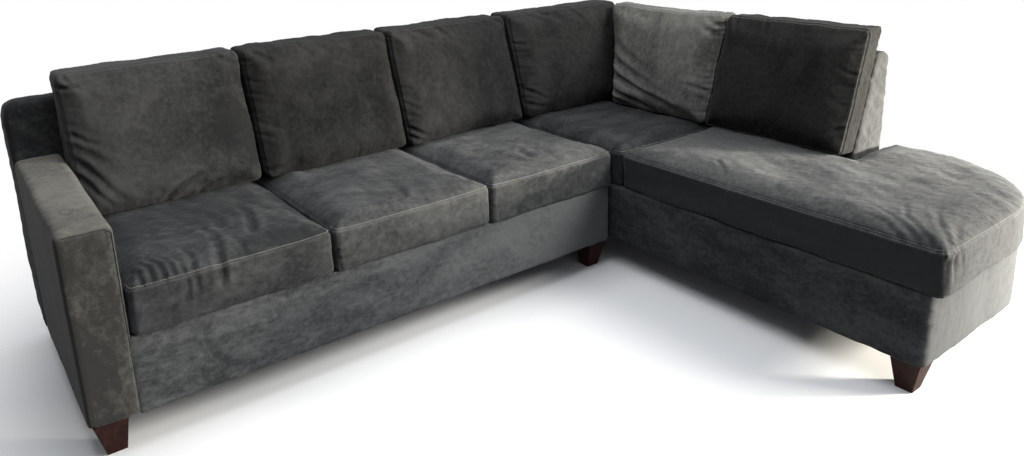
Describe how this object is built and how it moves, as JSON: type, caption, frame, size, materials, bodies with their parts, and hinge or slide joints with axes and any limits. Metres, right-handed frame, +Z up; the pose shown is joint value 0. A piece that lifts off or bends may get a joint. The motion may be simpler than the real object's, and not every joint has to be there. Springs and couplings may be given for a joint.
{
  "type": "sectional sofa",
  "caption": "L-shaped sectional sofa with one arm, a round-ended chaise, loose seat and back cushions on a sprung board frame, and tapered wooden feet",
  "frame": {"origin": "on the floor, under the middle of the whole sectional's outer box", "axes": "+X along the seat row from the arm towards the chaise, +Y from the front of the seats to the back, +Z up"},
  "size_m": [2.9518, 2.3158, 1.0176],
  "materials": {
    "velvet": "dark charcoal short-pile velvet upholstery with nap marks",
    "foot_wood": "dark mahogany stain under satin lacquer",
    "frame_wood": "raw sawn frame timber",
    "spring_steel": "bare drawn spring wire and pressed clips",
    "zinc_steel": "zinc-plated steel",
    "connector_steel": "black-painted pressed steel",
    "deck_felt": "needled felt deck under the cushions",
    "dust_cloth": "thin black non-woven dust cloth",
    "foam": "cut polyurethane foam",
    "fibre_fill": "fluffy polyester fibre in a thin inner bag"
  },
  "bodies": {
    "sofa_section": {"sofa_base_frame": "frame_wood", "sofa_seat_springs": "spring_steel", "sofa_spring_clips": "spring_steel", "sofa_deck": "deck_felt", "sofa_base_cover": "velvet", "arm_frame": "frame_wood", "arm_cover": "velvet", "sofa_back_frame": "frame_wood", "sofa_back_cover": "velvet", "sofa_dust_cover": "dust_cloth", "sofa_foot_front_left": "foot_wood", "sofa_foot_front_right": "foot_wood", "sofa_foot_rear_left": "foot_wood", "sofa_foot_rear_right": "foot_wood", "sofa_foot_bolts": "zinc_steel", "sofa_foot_plates": "zinc_steel", "sofa_connector_channels": "connector_steel"},
    "chaise_section": {"chaise_base_frame": "frame_wood", "chaise_seat_springs": "spring_steel", "chaise_spring_clips": "spring_steel", "chaise_deck": "deck_felt", "chaise_base_cover": "velvet", "chaise_back_frame": "frame_wood", "chaise_back_cover": "velvet", "side_back_cover": "velvet", "chaise_dust_cover": "dust_cloth", "chaise_foot_front_left": "foot_wood", "chaise_foot_front_right": "foot_wood", "chaise_foot_middle": "foot_wood", "chaise_foot_rear_left": "foot_wood", "chaise_foot_rear_right": "foot_wood", "chaise_foot_bolts": "zinc_steel", "chaise_foot_plates": "zinc_steel", "chaise_connector_tongues": "connector_steel"},
    "seat_cushion_1": {"seat_cushion_1_cover": "velvet", "seat_cushion_1_core": "foam"},
    "seat_cushion_2": {"seat_cushion_2_cover": "velvet", "seat_cushion_2_core": "foam"},
    "seat_cushion_3": {"seat_cushion_3_cover": "velvet", "seat_cushion_3_core": "foam"},
    "corner_cushion": {"corner_cushion_cover": "velvet", "corner_cushion_core": "foam"},
    "chaise_cushion": {"chaise_cushion_cover": "velvet", "chaise_cushion_core": "foam"},
    "back_cushion_1": {"back_cushion_1_cover": "velvet", "back_cushion_1_fill": "fibre_fill"},
    "back_cushion_2": {"back_cushion_2_cover": "velvet", "back_cushion_2_fill": "fibre_fill"},
    "back_cushion_3": {"back_cushion_3_cover": "velvet", "back_cushion_3_fill": "fibre_fill"},
    "back_cushion_4": {"back_cushion_4_cover": "velvet", "back_cushion_4_fill": "fibre_fill"},
    "back_cushion_5": {"back_cushion_5_cover": "velvet", "back_cushion_5_fill": "fibre_fill"},
    "back_cushion_6": {"back_cushion_6_cover": "velvet", "back_cushion_6_fill": "fibre_fill"}
  },
  "joints": [
    {"name": "chaise_lift", "type": "slide", "parent": "sofa_section", "child": "chaise_section", "axis": [0, 0, 1], "range_m": [0, 0.06]},
    {"name": "seat_cushion_1_lift", "type": "slide", "parent": "sofa_section", "child": "seat_cushion_1", "axis": [0, 0, 1], "range_m": [0, 0.3]},
    {"name": "seat_cushion_2_lift", "type": "slide", "parent": "sofa_section", "child": "seat_cushion_2", "axis": [0, 0, 1], "range_m": [0, 0.3]},
    {"name": "seat_cushion_3_lift", "type": "slide", "parent": "sofa_section", "child": "seat_cushion_3", "axis": [0, 0, 1], "range_m": [0, 0.3]},
    {"name": "corner_cushion_lift", "type": "slide", "parent": "chaise_section", "child": "corner_cushion", "axis": [0, 0, 1], "range_m": [0, 0.3]},
    {"name": "chaise_cushion_lift", "type": "slide", "parent": "chaise_section", "child": "chaise_cushion", "axis": [0, 0, 1], "range_m": [0, 0.3]},
    {"name": "back_cushion_1_lift", "type": "slide", "parent": "seat_cushion_1", "child": "back_cushion_1", "axis": [0, 0.284, 0.9588], "range_m": [0, 0.45]},
    {"name": "back_cushion_2_lift", "type": "slide", "parent": "seat_cushion_2", "child": "back_cushion_2", "axis": [0, 0.284, 0.9588], "range_m": [0, 0.45]},
    {"name": "back_cushion_3_lift", "type": "slide", "parent": "seat_cushion_3", "child": "back_cushion_3", "axis": [0, 0.284, 0.9588], "range_m": [0, 0.45]},
    {"name": "back_cushion_4_lift", "type": "slide", "parent": "corner_cushion", "child": "back_cushion_4", "axis": [0, 0.284, 0.9588], "range_m": [0, 0.45]},
    {"name": "back_cushion_5_lift", "type": "slide", "parent": "corner_cushion", "child": "back_cushion_5", "axis": [0.284, 0, 0.9588], "range_m": [0, 0.45]},
    {"name": "back_cushion_6_lift", "type": "slide", "parent": "chaise_cushion", "child": "back_cushion_6", "axis": [0.284, 0, 0.9588], "range_m": [0, 0.45]}
  ]
}
